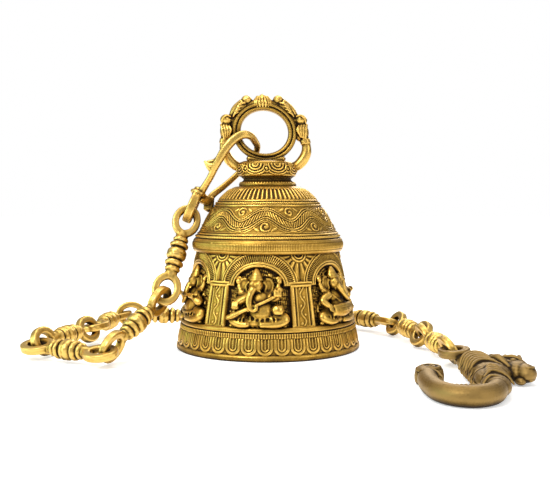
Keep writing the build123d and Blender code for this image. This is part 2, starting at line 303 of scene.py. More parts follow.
def ramp(tree, stops):
    node = tree.nodes.new("ShaderNodeValToRGB")
    elements = node.color_ramp.elements
    while len(elements) < len(stops):
        elements.new(0.5)
    for element, (place, colour) in zip(elements, stops):
        element.position = place
        element.color = (*colour, 1)
    return node


def math_node(tree, operation, a, b=None, clamp=False):
    node = tree.nodes.new("ShaderNodeMath")
    node.operation = operation
    node.use_clamp = clamp
    for socket, value in zip(node.inputs, (a, b)):
        if value is None:
            continue
        if isinstance(value, (int, float)):
            socket.default_value = value
        else:
            tree.links.new(value, socket)
    return node.outputs[0]


def noise(tree, coordinates, scale, detail=3.0, rough=0.55):
    node = tree.nodes.new("ShaderNodeTexNoise")
    node.inputs["Scale"].default_value = scale
    node.inputs["Detail"].default_value = detail
    node.inputs["Roughness"].default_value = rough
    tree.links.new(coordinates, node.inputs["Vector"])
    return node.outputs["Fac"]


def share(tree, value, middle, weight):
    """The value's distance from its middle, weighted."""
    return math_node(tree, "MULTIPLY", math_node(tree, "SUBTRACT", value, middle), weight)


def cast_brass(name, bright, middle, dark, point_weight=1.0, occlusion=0.006, grain=0.00018, shine=0.33):
    """Old cast brass: bright where it is rubbed, brown patina in the hollows, and painted shade from ambient
    occlusion that darkens the colour in recesses.
    """
    mat, tree, shader = new_material(name)
    coordinates = tree.nodes.new("ShaderNodeTexCoord").outputs["Object"]
    geometry = tree.nodes.new("ShaderNodeNewGeometry")
    attribute = tree.nodes.new("ShaderNodeAttribute")
    attribute.attribute_name = "relief"
    # ambient occlusion, used below to paint shade into the base colour
    shade = tree.nodes.new("ShaderNodeAmbientOcclusion")
    shade.samples = 8
    shade.inputs["Distance"].default_value = occlusion
    blotch = noise(tree, coordinates, 70, 4)
    speck = noise(tree, coordinates, 900, 3, 0.6)
    point = share(tree, geometry.outputs["Pointiness"], 0.5, 6.0 * point_weight)
    worn = math_node(tree, "ADD", point, attribute.outputs["Fac"])
    # painted shade: occluded places are darkened in the colour as if shade fell there, added to the patina from the
    # relief
    painted_shade = share(tree, shade.outputs["AO"], 1.0, 1.25)
    level = math_node(tree, "ADD", math_node(tree, "ADD", worn, painted_shade), 0.66)
    level = math_node(tree, "ADD", level, share(tree, blotch, 0.5, 0.55))
    level = math_node(tree, "ADD", level, share(tree, speck, 0.5, 0.5), True)
    brown = tuple(0.45 * m + 0.55 * d for m, d in zip(middle, dark))
    for socket, stops in (("Base Color", [(0.0, dark), (0.30, brown), (0.58, middle), (1.0, bright)]),
                          ("Metallic", [(0.05, (0.8,) * 3), (0.45, (1.0,) * 3)]),
                          ("Roughness", [(0.1, (0.68,) * 3), (0.9, (shine,) * 3)])):
        node = ramp(tree, stops)
        tree.links.new(level, node.inputs["Fac"])
        tree.links.new(node.outputs["Color"], shader.inputs[socket])
    fine = noise(tree, coordinates, 1500, 4, 0.65)
    coarse = noise(tree, coordinates, 420, 2)
    height = math_node(tree, "ADD", math_node(tree, "MULTIPLY", fine, 0.5), coarse)
    bump = tree.nodes.new("ShaderNodeBump")
    bump.inputs["Strength"].default_value = 0.55
    bump.inputs["Distance"].default_value = grain
    tree.links.new(height, bump.inputs["Height"])
    tree.links.new(bump.outputs["Normal"], shader.inputs["Normal"])
    return mat


BRIGHT = (0.76, 0.465, 0.098)
MIDDLE = (0.37, 0.205, 0.030)
DARK = (0.024, 0.011, 0.002)
bell_brass = cast_brass("bell_brass", BRIGHT, MIDDLE, DARK)
crown_brass = cast_brass("crown_brass", (0.74, 0.46, 0.112), (0.38, 0.22, 0.038), DARK, point_weight=1.4)
chain_brass = cast_brass("chain_brass", (0.70, 0.455, 0.12), (0.42, 0.255, 0.052), (0.04, 0.021, 0.006),
                         point_weight=1.2, occlusion=0.008, grain=0.00025, shine=0.36)
hook_brass = cast_brass("hook_brass", (0.29, 0.182, 0.058), (0.165, 0.098, 0.027), (0.026, 0.014, 0.004),
                        point_weight=1.3, occlusion=0.006, grain=0.00045, shine=0.52)
inner_brass = cast_brass("inner_brass", (0.50, 0.33, 0.10), (0.30, 0.185, 0.05), (0.05, 0.03, 0.01), shine=0.45)


def plain(name, colour, rough, metallic):
    mat, tree, shader = new_material(name)
    shader.inputs["Metallic"].default_value = metallic
    coordinates = tree.nodes.new("ShaderNodeTexCoord").outputs["Object"]
    mottle = noise(tree, coordinates, 260, 4)
    tint = ramp(tree, [(0.3, tuple(c * 0.6 for c in colour)), (0.7, colour)])
    tree.links.new(mottle, tint.inputs["Fac"])
    tree.links.new(tint.outputs["Color"], shader.inputs["Base Color"])
    shader.inputs["Roughness"].default_value = rough
    return mat


clapper_iron = plain("clapper_iron", (0.16, 0.12, 0.09), 0.5, 0.9)
fixing_steel = plain("fixing_steel", (0.34, 0.32, 0.29), 0.42, 1.0)


# ---------------- bell: relief on rings of points
def niche_angle(theta):
    """Degrees from the middle of the nearest niche."""
    return (np.degrees(theta - FRONT) + 30) % 60 - 30


def relief_ring(name, outline, spacing, around, shape, soft=1.6, strength=0.55):
    """Revolve an outline of (radius, height), pushed along its normal by shape(theta, radius, height, s)."""
    line, s = densify(outline, spacing)
    slope = np.gradient(line, axis=0)
    slope /= np.hypot(*slope.T)[:, None]
    normal = np.stack([slope[:, 1], -slope[:, 0]], 1)
    theta = np.linspace(0, TAU, around, endpoint=False)
    r, z = line[:, 0, None], line[:, 1, None]
    push = shape(theta[None, :], r, z, s[:, None]) + 0 * theta
    cell = TAU * float(line[:, 0].mean()) / around
    rows, cols = max(1, int(soft / spacing)), max(1, int(soft / cell))
    local = (push - blur(push, rows, cols)) * strength
    wide = (push - blur(push, 3 * rows, 3 * cols)) * strength * 0.35
    rr = r + push * normal[:, 0, None]
    zz = z + push * normal[:, 1, None]
    points = np.stack([rr * np.cos(theta), rr * np.sin(theta), zz + 0 * theta], -1).reshape(-1, 3)
    obj = mesh_object(name, leaned(points), grid_faces(len(line), around, True).tolist(), bell_brass,
                      np.clip(local + wide, -0.8, 0.5))
    dress(obj, "bell", "bell_shell")
    return obj


def dress(obj, body, node):
    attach(obj, body)
    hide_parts(node)


def foot_shape(theta, r, z, s):
    petals = 37
    x = ((theta - FRONT) * petals / TAU % 1 - 0.5) * TAU * 77 / petals
    low = 11.3
    d = np.where(z < low, np.hypot(x, z - low), np.abs(x) + 0 * z)
    zone = between(z, 5.0, 17.6, 0.25)
    petal = 0.8 * ridge(d - 5.2, 1.3) ** 0.7 + 0.65 * ridge(d - 2.75, 0.75) + 0.45 * ridge(x, 0.4) * (z > low - 1)
    petal = petal - 0.7
    reed = between(z, 18.2, 21.4, 0.2) * 0.32 * np.cos(theta * 230)
    rim = -0.35 * ridge(z - 17.9, 0.4) - 0.6 * ridge(z - 22.0, 0.5)
    return zone * petal + reed + rim


def niche_shape(theta, r, z, s):
    phi = niche_angle(theta)
    side = np.abs(phi)
    spring, cornice = 58.0, 61.0                        # heights where the arch and the fans begin
    high = np.clip(z - spring, 0, None)
    e1 = np.sqrt((phi / 17.6) ** 2 + (high / 14.6) ** 2)
    e2 = np.sqrt((phi / 21.2) ** 2 + (high / 18.6) ** 2)
    e3 = np.sqrt((phi / 25.6) ** 2 + (high / 25.4) ** 2)
    mm = 1.13                                           # millimetres to a degree, on the wall
    over = z > spring
    gap = np.where(over, (e1 - 1) * 16.5, (side - 22.0) * mm)       # distance outside the opening
    gap = np.where(z < 57.0, (side - 22.0) * mm, gap)
    depth = -(4.1 - 0.014 * (z - 26))
    sunk = 1 - step(-0.35, 0.35, gap)
    out = sunk * depth
    # rough back wall with a double halo
    halo = np.hypot(phi * mm, z - 55.5)
    out += sunk * (0.5 * ridge(halo - 15.2, 0.6) + 0.5 * ridge(halo - 12.6, 0.6)) * (z > 50)
    grain = np.sin(phi * 9.1 + 2 * np.sin(z * 1.9)) * np.sin(z * 2.7 + 2 * np.sin(phi * 5.3))
    out += sunk * (0.45 * grain + 0.3 * np.sin(phi * 2.3 + z) * np.sin(z * 0.9 - phi * 1.7))
    solid = 1 - sunk
    # arch moulding and its hatched band
    mould = over * between(e2, -1, 1, 0.012) * solid
    out += mould * (0.6 * ridge((e2 - 0.95) * 18, 0.7) + 0.35 * ridge((e2 - 0.87) * 18, 0.5)
                    - 0.4 * ridge((e2 - 0.91) * 18, 0.4))
    band = over * (e2 > 1) * (e3 < 1) * (z > cornice)
    angle = np.arctan2(high / 22, phi / 23.5)
    hatch = np.cos(angle * 96)
    out += band * (-0.2 + 0.5 * hatch)
    out += over * (z > 60.6) * (0.75 * ridge((e3 - 1.0) * 24, 0.75) + 0.55 * ridge((e3 - 1.07) * 24, 0.6))
    # fans between the arches
    dx, dz = (30 - side) * 1.08, 82.8 - z
    radius = np.hypot(dx, dz)
    fan_angle = np.arctan2(dx, dz)
    fan = over * (e3 > 1.09) * (z > 61.5)
    rays = np.abs(np.sin(fan_angle * 8.0))
    ray_zone = step(7.4, 8.2, radius)
    out += fan * ray_zone * (0.9 * rays ** 0.8 - 0.6)
    out += fan * (0.8 * ridge(radius - 6.1, 0.8) + 0.7 * ridge(radius - 4.0, 0.7) + 0.6 * ridge(radius, 2.0))
    # cornice over the pillars
    ledge = (1 - over * (e2 < 1)) * solid
    out += ledge * (0.75 * ridge(z - 60.0, 0.95) + 0.85 * ridge(z - 57.9, 1.05) - 0.35 * ridge(z - 59.0, 0.4))
    # pillars: beaded strips and a waving vine
    shaft = solid * (z < 56.6) * (z > 27.0)
    strip = shaft * between(side, 22.2, 24.5, 0.25)
    out += strip * (0.45 + 0.28 * np.cos(z * 5.2))
    out -= shaft * 0.45 * ridge(side - 25.0, 0.5)
    panel = shaft * step(25.3, 25.7, side)
    across = (side - 30) * 1.2 * np.sign(phi)
    wave = 1.7 * np.sin(z * TAU / 13.5)
    out += panel * (0.6 * ridge(across - wave, 0.7) + 0.4 * ridge(side - 26.1, 0.45) - 0.15)
    leaf_z = (z / 6.75 + 0.25) % 1 - 0.5
    flip = np.where(((z / 6.75 + 0.25) // 1) % 2 > 0.5, 1.0, -1.0)
    out += panel * 0.5 * ridge(np.hypot(across - flip * 1.6, leaf_z * 6.75), 1.15)
    out -= 0.3 * ridge(z - 81.2, 0.5)
    return out


def shoulder_shape(theta, r, z, s):
    hatch = between(z, 85.2, 90.2, 0.5) * 0.16 * np.cos(theta * 300)
    grooves = -0.28 * ridge(z - 84.7, 0.45) - 0.22 * ridge(z - 90.6, 0.4)
    rope = np.cos(theta * 210 + z * 2.0)
    bead = (0.65 + 0.22 * rope) * ridge(z - 95.0, 0.9)
    lines = -0.5 * ridge(z - 93.7, 0.45) - 0.45 * ridge(z - 96.2, 0.4) + 0.5 * ridge(z - 97.3, 0.7)
    return hatch + grooves + bead + lines - 0.45 * ridge(z - 98.4, 0.4)


def cap_shape(theta, r, z, s):
    """Waving leaf band, beads and flutes; s runs up the slope."""
    turn = theta - FRONT
    waves = 8
    phase = turn * waves - math.radians(37)
    middle = 12.6
    centre = middle + 5.2 * np.cos(phase)
    lean = 1 / np.sqrt(1 + (5.2 * waves * np.sin(phase) / 53) ** 2)
    d = (s - centre) * lean
    zone = between(s, 1.0, 24.8, 0.3)
    leaf = 0.5 * (1 - step(2.5, 2.9, np.abs(d)))
    hatch = np.cos(turn * waves * 22 + s * 1.2 * np.sign(np.sin(phase)))
    out = leaf + 0.3 * hatch * (np.abs(d) < 2.4)
    out += 0.95 * ridge(np.abs(d) - 3.5, 0.7) + 0.8 * ridge(np.abs(d) - 5.2, 0.6) + 0.5 * ridge(d + 6.7, 0.5)
    out = out - 0.5 * ridge(np.abs(d) - 2.6, 0.4) - 0.5 * ridge(np.abs(d) - 4.4, 0.4)
    # curls in the bays under the crests and over the troughs
    for offset, height, spin in ((0.0, 6.2, 1), (math.pi, 19.2, -1)):
        local = ((phase - offset + math.pi) % TAU - math.pi) * 53 / waves
        px, py = local, s - height
        radius = np.hypot(px, py)
        swirl = np.arctan2(py * spin, px)
        coil = ((radius - 0.55 * swirl) % 3.4555) - 1.7
        free = (np.abs(d) > 6.0)
        out += free * (radius < 4.6) * 0.7 * ridge(coil, 0.9) + free * 0.7 * ridge(radius, 1.2)
        for way in (-1, 1):
            qx, qy = px - way * 6.6, py + 2.4 * spin
            tilt = way * spin * 0.5
            along, off = qx * math.cos(tilt) + qy * math.sin(tilt), qy * math.cos(tilt) - qx * math.sin(tilt)
            out += free * 0.5 * ridge(np.hypot(along / 2.6, off), 1.1)
    out = zone * (out - 0.35)
    rope = np.cos(theta * 170 + s * 2.2)
    out += (0.6 + 0.22 * rope) * ridge(s - 28.2, 0.95) + 0.45 * ridge(s - 25.9, 0.7) + 0.45 * ridge(s - 30.6, 0.65)
    out = out - 0.4 * ridge(s - 27.0, 0.35) - 0.4 * ridge(s - 29.6, 0.35)
    flutes = np.cos(turn * 66)
    fluted = between(s, 32.2, 45.5, 0.5)
    out += fluted * (0.5 * np.sign(flutes) * np.abs(flutes) ** 0.7)
    return out


FOOT = [(73.6, 0), (76.9, 0), (77.8, 0.5), (78.2, 1.6), (78.1, 3.9), (77.4, 4.7), (77.3, 5.6), (77, 9), (76.2, 13.4),
        (75, 17.4), (74.9, 18.2), (74.6, 21.4), (74, 21.9), (74.2, 22.5), (74.3, 23.6), (73.9, 24.9), (73.1, 25.7),
        (72.2, 26)]
WALL = [(72.2, 26), (72, 26.8), (60.4, 81.6)]
SHOULDER = [(60.4, 81.6), (61.6, 81.9), (62.9, 82.6), (63.6, 83.8), (64, 85.4), (64.2, 87.6), (64, 89.6),
            (63.4, 91.4),
            (62.4, 92.8), (61.6, 93.6), (61.2, 94.6), (59.6, 97), (58.6, 98.6)]
CAP = [(58.6, 98.6), (56.6, 101.6), (54.7, 105.2), (52.6, 108.9), (51, 112.2), (48.8, 115.4), (46.3, 118.9),
       (43.9, 122.3), (41.3, 125.8), (38.2, 129), (34.4, 132.4), (30, 135.2), (27.2, 136.3), (23.5, 136.6)]

fine = 1.0
relief_ring("bell_foot", FOOT, 0.56 * fine, int(1110 / fine), foot_shape)
relief_ring("bell_niches", WALL, 0.6 * fine, int(840 / fine), niche_shape, soft=1.8)
relief_ring("bell_shoulder", SHOULDER, 0.5 * fine, int(1200 / fine), shoulder_shape)
relief_ring("bell_cap", CAP, 0.6 * fine, int(880 / fine), cap_shape)


INSIDE = [(4.2, 129.6), (16, 129.6), (29, 127.6), (39.9, 117), (47, 108), (51.4, 102), (54.2, 92),
          (55.3, 82), (66.9, 21.8), (71.4, 15), (73.6, 5), (73.6, 0)]


def bell_inside(spacing, around):
    line, _ = densify(INSIDE, spacing)
    theta = np.linspace(0, TAU, around, endpoint=False)
    r, z = line[:, 0, None], line[:, 1, None]
    points = np.stack([r * np.cos(theta), r * np.sin(theta), z + 0 * theta], -1).reshape(-1, 3)
    faces = grid_faces(len(line), around, True).tolist()
    dress(mesh_object("bell_inside", leaned(points), faces, inner_brass), "bell", "bell_shell")


bell_inside(2.0, 160)


# ---------------- seated figures
def wrap_on_bell(points, angle):
    """Flat relief (across, out, up) laid on the niche's curved back wall."""
    x, out, z = points.T
    base = 68.1 - 0.2 * (z - 26)
    r = base + out
    a = angle + x / 66.0
    return np.stack([r * np.cos(a), r * np.sin(a), z], 1)


def seated(h):
    """Body, legs, ears, crown and beads that all the figures share; h is the x of the head."""
    clay = Clay()
    clay.blob((2.5, 3.5, 39), (8.8, 5.8, 8.4))  # belly
    clay.blob((1.5, 3.2, 47.5), (8, 4.2, 6.2))  # chest
    clay.blob((-1, 2, 30.5), (19, 5.2, 4))  # seat
    clay.bar([(12, 3, 36), (19.5, 4.2, 33), (14, 5.4, 29.5), (2, 6.2, 29)], (4.2, 4, 3.3, 2.4))
    clay.bar([(-10, 3, 36), (-18, 4, 32.5), (-13, 5.6, 29.2), (-7, 6.4, 29)], (4, 3.8, 3, 2.3))
    clay.row(6, (1.7, 0, 0), [(-15.5, 5.4, 32), (-15, 7.4, 29.4), (-14.6, 6.6, 27.6)], 0.75)  # toes of the near foot
    clay.blob((h, 4.6, 58.4), (5.6, 4.6, 5.6))
    clay.blob((h - 2.2, 7, 60.2), (2.2, 2.2, 2))
    clay.blob((h + 2.4, 7, 60.2), (2.2, 2.2, 2))
    for way in (-1, 1):  # ears with a rim
        clay.blob((h + way * 9.2, 2.6, 58.2), (4.6, 1.5, 5.6), ("Y", way * 14))
        ear = [(h + way * (9.2 + 4.3 * math.cos(a)), 3.6, 58.2 + 5.4 * math.sin(a)) for a in np.linspace(-1.9, 1.9,
                                                                                                         9)]
        clay.thin(ear, 0.75)
        clay.thin([(h + way * 6, 4.2, 61.5), (h + way * 8, 4.4, 57.5), (h + way * 6.8, 4.4, 54)], 0.6)
        clay.blob((h + way * 2.2, 8.2, 58.2), (0.9, 0.8, 0.7))  # eyes
        clay.thin([(h + way * 2.6, 6.6, 54.6), (h + way * 4.2, 8.2, 53.2)], (0.9, 0.5))
    clay.turned([(0, 0), (5.2, 0), (5.6, 0.9), (5, 1.8), (5, 2.6), (4.6, 3.4), (3.9, 4.6), (3.9, 5.2), (3, 6.6),
                 (2.4, 7.6), (1.2, 9), (0, 9.6)],
                upright(h, 3.4, 62.2, 0.85), 20)
    for k in range(-4, 5):  # beads round the brow
        clay.blob((h + 1.25 * k, 7.9 - 0.16 * k * k, 63.1), 0.62, detail=8)
    for k in range(-6, 7):  # necklace
        clay.blob((2 + 1.15 * k, 7.4 - 0.05 * k * k, 44.5 + 0.12 * k * k), 0.62, detail=8)
    clay.thin([(-6.5, 5, 50), (0, 8.2, 43.5), (8.5, 6.6, 38.5)], 0.5)
    clay.copies = PAIR  # raised rear arms with what they hold
    clay.bar([(7, 3, 50.5), (13, 2.8, 53), (16.2, 3, 58.6)], (2.4, 2.2, 1.7))
    clay.blob((16.6, 3.6, 61.6), (2.1, 1.9, 2.3))
    for a in np.linspace(-0.9, 0.9, 5):
        clay.bar([(16.6, 3.6, 62), (16.6 + 3.4 * math.sin(a), 3, 62 + 3.4 * math.cos(a))], 0.55, sides=6)
    for k in range(3):  # bangles and anklets
        clay.bar([(11.6 + 1.3 * k, 0.6, 55.4 + 0.5 * k), (12.2 + 1.3 * k, 5.2, 53.6 + 0.5 * k),
                  (13 + 1.3 * k, 3.4, 50.4 + 0.5 * k)], 0.5, sides=6)
        clay.bar([(9.5 + 2.6 * k, 5.8 - 0.3 * k, 36.4 - 1 * k), (10.4 + 2.6 * k, 8.2 - 0.5 * k, 33.2 - 0.6 * k),
                  (10.6 + 2.6 * k, 7.6 - 0.5 * k, 29.4)], 0.55, sides=6)
    clay.copies = ONCE
    chance = np.random.default_rng(7)  # craggy ground and wall
    for _ in range(70):
        x, z = chance.uniform(-20.5, 20.5), chance.uniform(27.5, 66)
        if abs(x) > 21.5 * math.sqrt(max(0, 1 - (max(0, z - 52) / 17) ** 2)):
            continue
        clay.blob((x, 0.2, z), (chance.uniform(1, 2.6), chance.uniform(1.2, 2.4), chance.uniform(1, 2.4)), detail=8)
    for k in range(13):
        clay.blob((-19.8 + 3.3 * k, 3.6, 27.4), (1.5, 2, 1.3), detail=8)
    for k in range(9):  # hem of beads
        clay.blob((-10 + 2.5 * k, 7.6 - 0.05 * (k - 4) ** 2, 35.6 - 0.1 * (k - 4) ** 2), 0.72, detail=8)
    for k in range(5):  # folds of the cloth
        clay.thin([(-4.5 + 3.4 * k, 8 - 0.3 * abs(k - 2), 34.2), (-5.5 + 3.6 * k, 7.2, 31.6)], 0.6)
    return clay


def lute_player():
    clay = seated(-1.8)
    clay.bar([(-3.4, 7.6, 56.6), (-5.4, 9.2, 51.6), (-5.8, 9.8, 46.2), (-4.6, 10.2, 41.6), (-2.2, 10.4, 39.9),
              (-0.4, 10.4, 41.6), (-0.8, 10.4, 44.4)], (2.9, 2.5, 2.1, 1.7, 1.45, 1.3, 1.1))
    for k in range(6):                                               # rings on the trunk
        z = 55 - 2 * k
        clay.bar([(-6.9 - 0.12 * k, 8.6 + 0.2 * k, z), (-5 - 0.16 * k, 11.3 - 0.1 * k, z - 0.3),
                  (-3 - 0.2 * k, 9.4 + 0.1 * k, z)], 0.42, sides=6)
    clay.bar([(-21.5, 8.4, 33.4), (-10, 9.2, 39.4), (4, 9, 46), (15.5, 8, 52)], (1.9, 1.5, 1.2, 1.2))
    clay.blob((-16.5, 8.8, 35.8), (5.6, 1.9, 2.3), ("Y", -27))
    clay.row(6, (1.7, 0, 0.85), [(-20.4, 10.6, 34.6), (-19.8, 10.4, 32)], 0.42, 6)
    for k in range(7):
        z = -3 + 1 * k
        radii = [max(0.6, radius * math.cos(z / 4.6)) for radius in (4.1, 3.9)]
        clay.ringlet((14.6, 6.6, 40.2 + z), radii, 0.45, 24)
    clay.blob((14.6, 6.6, 40.2), (3.9, 3.7, 4.2))
    clay.bar([(8, 4.4, 50.5), (12.8, 4.8, 48.2), (15, 7.6, 52.6)], (2.8, 2.4, 2))
    clay.row(3, [(1.9, 0, -0.6), (1.9, 0, -0.6), (1.9, 0, 0)],
             [(12.6, 8.6, 55.6), (12.4, 10.4, 53), (12.4, 9.4, 50.6)], 0.95)
    clay.blob((16.2, 7.2, 55.2), (2.2, 2.2, 2.4))
    clay.bar([(-7.5, 4.4, 50), (-15.5, 4.8, 45.2), (-16.4, 7.4, 41)], (3, 3.1, 2.4))
    clay.row(3, (1.7, 0, 0), [(-18.2, 7.4, 46.2), (-18, 8.4, 43.2), (-17.4, 8.2, 40.4)], 0.85)
    return clay


def drummer():
    clay = seated(0.5)
    clay.bar([(0.4, 7.6, 56.4), (2.4, 9.4, 52), (4.6, 10.2, 48.2), (7.4, 10, 45.4), (10, 9.4, 45.6), (10.6, 9, 47.6)],
             (2.8, 2.5, 2.1, 1.7, 1.4, 1.1))
    clay.row(5, (1, 0, -2), [(0, 9.8, 54), (2.2, 11.6, 53.4), (4.2, 10, 53.6)], 0.42, 6)
    barrel = [(0, -12.5), (3.4, -12.5), (3.9, -11.8), (3.7, -10.9), (4.7, -7), (5.4, 0), (4.7, 7), (3.7, 10.9),
              (3.9, 11.8),
              (3.4, 12.5), (0, 12.5)]
    place = np.array([[0.05, 0, 0.99, 1], [0, 0.8, 0, 7.2], [-0.99, 0, 0.05, 37.4], [0, 0, 0, 1]], float)
    clay.turned(barrel, place, 26)
    for k in range(9):
        a = 0.5 + 0.28 * k
        clay.bar([(-10, 7.4 + 3.4 * math.sin(a), 37.4 + 4.2 * math.cos(a)),
                  (1, 7.4 + 4.5 * math.sin(a + 0.14), 37.4 + 5.6 * math.cos(a + 0.14)),
                  (12, 7.4 + 3.4 * math.sin(a), 38.4 + 4.2 * math.cos(a))], 0.42, sides=6)
    for way in (-1, 1):
        clay.bar([(way * 8.4, 4.4, 49.5), (way * 16.4, 5, 45.6), (way * 14.8 + 0.6, 8.4, 41)], (3, 2.9, 2.1))
        clay.row(4, [(0, 0.6, -1.5), (0, 0.3, -1.5)],
                 [(way * 15.6 + 0.6, 8.6, 42.6), (way * 12.6 + 0.6, 9.8, 41.4)], 0.85)
    return clay


def piper():
    clay = seated(-0.5)
    clay.bar([(-0.6, 7.8, 56.4), (0.6, 9.8, 51.4), (1, 10.2, 46.4), (-0.6, 10.2, 42.4), (-3.4, 10, 41.6),
              (-4.4, 9.6, 43.8)],
             (2.8, 2.4, 2, 1.6, 1.3, 1))
    clay.row(5, [(0.2, 0, -2.1), (0.2, 0, -2.1), (0.1, 0, -2.1)],
             [(-2, 9.4, 54), (0.2, 11.7, 53.6), (2.6, 9.8, 54)], 0.42, 6)
    clay.bar([(-18, 8.8, 47.2), (0, 11.2, 47.8), (16.5, 8.8, 49)], 1.15)
    clay.copies = PAIR
    clay.bar([(8.4, 4.4, 49), (16.4, 5.2, 42.6), (11.6, 8.8, 47)], (3, 2.8, 2))
    clay.row(4, (1.7, 0, 0), [(9, 11.2, 49.6), (9, 11.6, 47.6), (9, 10.2, 46)], 0.75)
    clay.copies = ONCE
    clay.bar([(-13, 6.6, 35.2), (0, 8.6, 33.6), (13, 6.6, 35.2)], 0.8)
    return clay


figures = [player().fuse("figure", 0.56, 1) for player in (lute_player, drummer, piper)]
for index, kind in enumerate((0, 1, 2, 0, 1, 2)):
    points, faces = figures[kind]
    turn = FRONT + index * TAU / NICHES
    figure = mesh_object(f"figure_{index + 1}", leaned(wrap_on_bell(points, turn)), faces, bell_brass,
                         wear(points, faces))
    dress(figure, "bell", "bell_shell")


# ---------------- crown
def pot_shape(theta, r, z, s):
    """Scrolls on the pot: bracket-shaped double lines with a rosette at each side."""
    around = (theta - math.radians(-90)) * 8 / TAU % 1 - 0.5
    x = around * TAU * 25 / 8
    out = 0 * theta
    zone = between(z, 146, 156.2, 0.4)
    up = z - 154.6
    for radius in (2, 4.3, 6.6, 8.6):
        d = np.hypot(x * 0.8, up) - radius
        out = out + 0.8 * ridge(d, 0.75) * (up < 0.8) * (np.abs(x) < 8.2)
    corner = np.hypot(np.abs(x) - 9.6, z - 151)
    out = out + 0.9 * ridge(corner, 1.4) + 0.7 * ridge(corner - 2.6, 0.7)
    out = zone * (out - 0.45)
    beads = np.cos(theta * 60)
    return out + (0.35 + 0.2 * beads) * ridge(z - 139.6, 0.7) - 0.3 * ridge(z - 144.3, 0.6)


POT = [(23.5, 136.4), (24.3, 136.6), (24.4, 138.4), (23.6, 139.2), (22.8, 139.8), (21.4, 140.8), (20.4, 141.6),
       (20.2, 142.8),
       (21.6, 143.8), (23.6, 144.7), (24.7, 146.2), (25, 149), (24.9, 152.5), (24.3, 154.8), (22.6, 156.6),
       (19.5, 157.8),
       (15, 158.2), (9, 158.6), (2, 158.8)]
relief_ring("crown_pot", POT, 0.5 * fine, int(440 / fine), pot_shape, soft=1.2)


def crown_ring():
    """Oval hanging ring with two beads and a groove on each face."""
    count = 280
    a = np.linspace(0, TAU, count, endpoint=False)
    half_wide, half_high, centre = 27.2, 24.6, 182.4
    section = [(0, -3.6), (0, 3.6), (-0.6, 4.9), (-1.4, 5.5), (-2.2, 5.5), (-2.9, 5.1), (-3.3, 4.3), (-3.7, 4.3),
               (-4.2, 5.1),
               (-5, 5.4), (-5.8, 5.1), (-6.5, 4.3), (-7, 2.2), (-7.2, 0)]
    section = section + [(u, -v) for u, v in section[::-1][1:]]
    section = curve(section, 64, closed=True)
    rings = []
    relief = []
    for u, v in section:
        nick = 0.16 * np.cos(a * 96) * (1 if -2.6 < u < -0.4 and abs(v) > 4.4 else 0)
        wide, high = half_wide + u + nick, half_high + u * 0.92 + nick
        rings.append(np.stack([wide * np.cos(a), v + np.sign(v) * nick, centre + high * np.sin(a)], 1))
        groove = -0.7 if -3.8 < u < -3.1 and abs(v) > 3.9 else (0.15 if -2.7 < u < -1.2 or -5.8 < u < -4.4 else 0)
        relief.append(groove + nick)
    points = np.stack(rings).reshape(-1, 3)
    faces = grid_faces(len(section), count, True).tolist()
    last = (len(section) - 1) * count
    faces += [[last + c, last + (c + 1) % count, (c + 1) % count, c] for c in range(count)]
    obj = mesh_object("crown_ring", leaned(points), faces, crown_brass, np.stack(relief))
    dress(obj, "bell", "crown")


crown_ring()


